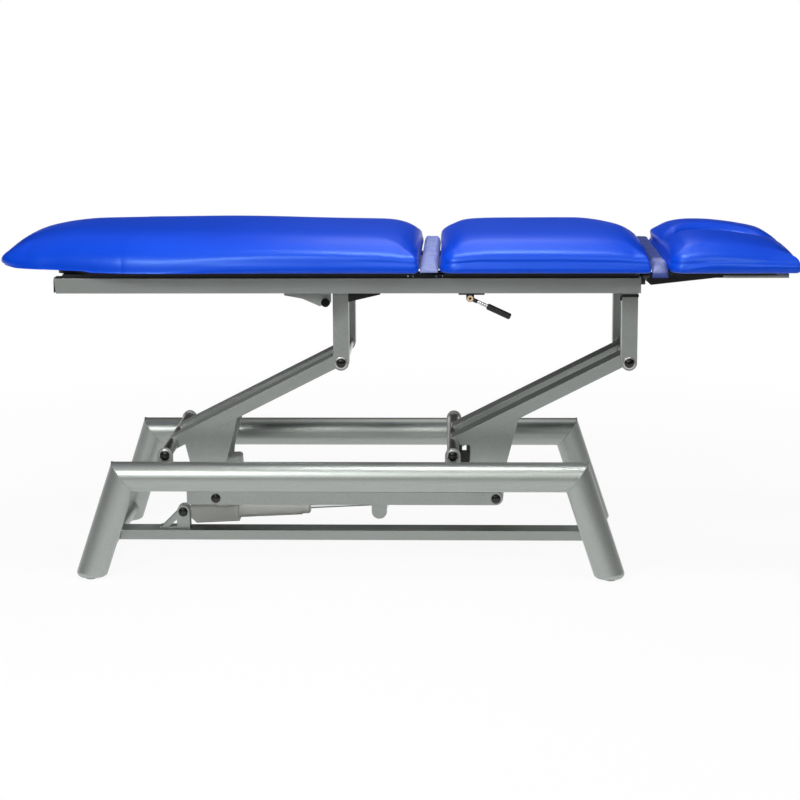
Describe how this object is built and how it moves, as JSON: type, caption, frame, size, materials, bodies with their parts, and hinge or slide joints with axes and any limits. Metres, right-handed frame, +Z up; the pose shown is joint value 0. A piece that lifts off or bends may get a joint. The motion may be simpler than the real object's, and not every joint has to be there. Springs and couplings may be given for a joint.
{
  "type": "rehabilitation table",
  "caption": "Height-adjustable rehabilitation table: tubular splayed base, parallel lift arms with a linear actuator, and an upholstered top in hinged sections with a face hole.",
  "frame": {"origin": "centre of the footprint on the floor", "axes": "+X towards the head section, +Y to the far side, +Z up"},
  "size_m": [1.973, 0.6804, 0.865],
  "materials": {
    "silver_paint": "silver-grey metallic powder coat, satin",
    "black_plastic": "moulded, semi-gloss",
    "grey_plastic": "light grey moulded housing, matt",
    "chrome": "bright chrome",
    "blue_vinyl": "smooth vinyl-coated upholstery cloth, satin",
    "pale_vinyl": "thin coated fabric, wrinkled",
    "black_board": "plywood with black lacquer",
    "black_steel": "black powder coat",
    "black_rubber": "matt",
    "bright_steel": "turned"
  },
  "bodies": {
    "base": {"base_rail_near": "silver_paint", "base_rail_far": "silver_paint", "leg_near_left": "silver_paint", "leg_near_right": "silver_paint", "leg_far_left": "silver_paint", "leg_far_right": "silver_paint", "foot_pad_near_left": "black_plastic", "foot_pad_near_right": "black_plastic", "foot_pad_far_left": "black_plastic", "foot_pad_far_right": "black_plastic", "cross_tube_left": "silver_paint", "cross_tube_right": "silver_paint", "lower_bar": "silver_paint", "actuator_bracket": "silver_paint", "actuator_pin": "black_plastic"},
    "left_arm": {"arm_tube_left_near": "silver_paint", "arm_tube_left_far": "silver_paint", "lever_plate_left_near": "silver_paint", "lever_plate_left_far": "silver_paint", "axle_lower_left": "bright_steel", "axle_upper_left": "bright_steel", "pivot_caps_left": "black_plastic"},
    "right_arm": {"arm_tube_right_near": "silver_paint", "arm_tube_right_far": "silver_paint", "lever_plate_right_near": "silver_paint", "lever_plate_right_far": "silver_paint", "axle_lower_right": "bright_steel", "axle_upper_right": "bright_steel", "pivot_caps_right": "black_plastic"},
    "tie_link": {"tie_bar_near": "silver_paint", "tie_bar_far": "silver_paint", "drive_shaft": "silver_paint"},
    "actuator_housing": {"actuator_body": "grey_plastic", "actuator_motor": "grey_plastic", "actuator_sleeve": "grey_plastic"},
    "actuator_piston": {"actuator_rod": "chrome"},
    "top_frame": {"beam_near": "silver_paint", "beam_far": "silver_paint", "column_near_left": "silver_paint", "column_near_right": "silver_paint", "column_far_left": "silver_paint", "column_far_right": "silver_paint", "cross_member_left": "silver_paint", "cross_member_right": "silver_paint", "cross_member_end": "silver_paint", "section_bracket": "silver_paint", "corner_gusset": "black_steel", "lever_hanger": "black_steel", "centre_panel": "black_board", "hinge_pin": "chrome", "centre_cushion": "blue_vinyl", "gap_cover_left": "pale_vinyl", "gap_cover_right": "pale_vinyl"},
    "long_section": {"long_panel": "black_board", "long_cushion": "blue_vinyl"},
    "head_section": {"head_panel": "black_board", "head_hinge": "black_steel", "head_cushion": "blue_vinyl"},
    "release_lever": {"release_rod": "chrome", "release_grip": "black_rubber"}
  },
  "joints": [
    {"name": "lift", "type": "hinge", "parent": "base", "child": "left_arm", "pos_m": [-0.6015, 0, 0.3105], "axis": [0, -1, 0], "range_deg": [-36, 4]},
    {"name": "right_arm_pivot", "type": "hinge", "parent": "base", "child": "right_arm", "pos_m": [0.1355, 0, 0.3105], "axis": [0, -1, 0], "range_deg": [-36, 4]},
    {"name": "frame_level", "type": "hinge", "parent": "left_arm", "child": "top_frame", "pos_m": [-0.1515, 0, 0.539], "axis": [0, -1, 0], "range_deg": [-4, 36]},
    {"name": "tie_level", "type": "hinge", "parent": "left_arm", "child": "tie_link", "pos_m": [-0.4895, 0, 0.1665], "axis": [0, -1, 0], "range_deg": [-4, 36]},
    {"name": "actuator_tilt", "type": "hinge", "parent": "base", "child": "actuator_housing", "pos_m": [-0.5905, 0, 0.1045], "axis": [0, -1, 0], "range_deg": [-5.17, 0.62]},
    {"name": "actuator_stroke", "type": "slide", "parent": "actuator_housing", "child": "actuator_piston", "axis": [0.9989, 0, 0.0479], "range_m": [-0.10502, 0.01211]},
    {"name": "long_section_lift", "type": "hinge", "parent": "top_frame", "child": "long_section", "pos_m": [0.062, 0, 0.774], "axis": [0, 1, 0], "range_deg": [0, 40], "deforming": ["gap_cover_left"]},
    {"name": "head_section_tilt", "type": "hinge", "parent": "top_frame", "child": "head_section", "pos_m": [0.618, 0, 0.774], "axis": [0, -1, 0], "range_deg": [-40, 30], "deforming": ["gap_cover_right"]},
    {"name": "release_lever_pull", "type": "hinge", "parent": "top_frame", "child": "release_lever", "pos_m": [0.179, -0.249, 0.716], "axis": [0, -1, 0], "range_deg": [0, 15], "stiffness_Nm_per_rad": 0.8, "springref_deg": -34.38}
  ],
  "couplings": [
    {"joint": "right_arm_pivot", "follows": "lift", "ratio": 1},
    {"joint": "frame_level", "follows": "lift", "ratio": -1},
    {"joint": "tie_level", "follows": "lift", "ratio": -1},
    {"joint": "actuator_tilt", "follows": "lift", "ratio": 0.1421},
    {"joint": "actuator_stroke", "follows": "lift", "m_per_rad": 0.16635}
  ]
}
